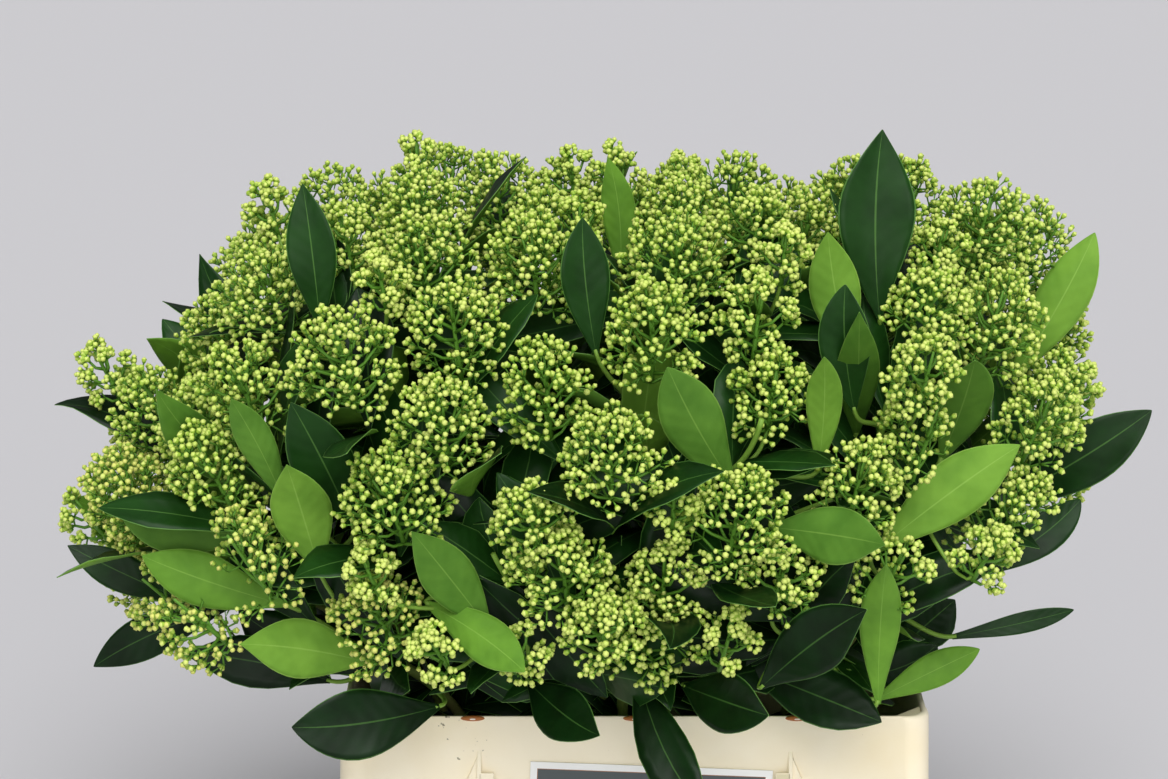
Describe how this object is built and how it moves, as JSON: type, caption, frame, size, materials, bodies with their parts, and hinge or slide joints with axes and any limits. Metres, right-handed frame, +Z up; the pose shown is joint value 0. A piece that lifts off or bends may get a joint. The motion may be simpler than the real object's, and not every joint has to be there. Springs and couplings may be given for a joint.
{
  "type": "cut skimmia stems in a bucket",
  "caption": "Dense, wide bunch of cut skimmia with green-budded conical panicles and leathery leaves, standing in a plain ivory rectangular flower bucket with a bare card.",
  "frame": {"origin": "centre of the bucket's flat underside, which stands on the floor", "axes": "+Z up, +X to the right along the bucket's long side, -Y towards the long front that holds the card"},
  "size_m": [0.7524, 0.5572, 0.635],
  "materials": {
    "bucket": "smooth moulded ivory plastic, softly shining",
    "card": "satin card, white border",
    "stems": "fine green bark with shallow ridges",
    "foliage": "leathery leaves, glossy above and matte below, with yellow-green buds"
  },
  "bodies": {
    "root": {"bucket": "bucket", "card": "card", "spray_high_01": "foliage", "spray_high_02": "foliage", "spray_high_03": "foliage", "spray_high_04": "foliage", "spray_high_05": "foliage", "spray_high_06": "foliage", "spray_high_07": "foliage", "spray_low_01": "foliage", "spray_low_02": "foliage", "spray_low_03": "foliage", "spray_low_04": "foliage", "spray_low_05": "foliage", "spray_low_06": "foliage", "spray_low_07": "foliage", "spray_low_08": "foliage", "spray_low_09": "foliage", "spray_low_10": "foliage", "spray_middle_01": "foliage", "spray_middle_02": "foliage", "spray_middle_03": "foliage", "spray_middle_04": "foliage", "spray_middle_05": "foliage", "spray_middle_06": "foliage", "spray_middle_07": "foliage", "spray_middle_08": "foliage", "spray_top_01": "foliage", "spray_top_02": "foliage", "spray_top_03": "foliage", "stem_high_01": "stems", "stem_high_02": "stems", "stem_high_03": "stems", "stem_high_04": "stems", "stem_high_05": "stems", "stem_high_06": "stems", "stem_high_07": "stems", "stem_low_01": "stems", "stem_low_02": "stems", "stem_low_03": "stems", "stem_low_04": "stems", "stem_low_05": "stems", "stem_low_06": "stems", "stem_low_07": "stems", "stem_low_08": "stems", "stem_low_09": "stems", "stem_low_10": "stems", "stem_middle_01": "stems", "stem_middle_02": "stems", "stem_middle_03": "stems", "stem_middle_04": "stems", "stem_middle_05": "stems", "stem_middle_06": "stems", "stem_middle_07": "stems", "stem_middle_08": "stems", "stem_top_01": "stems", "stem_top_02": "stems", "stem_top_03": "stems"}
  },
  "joints": []
}
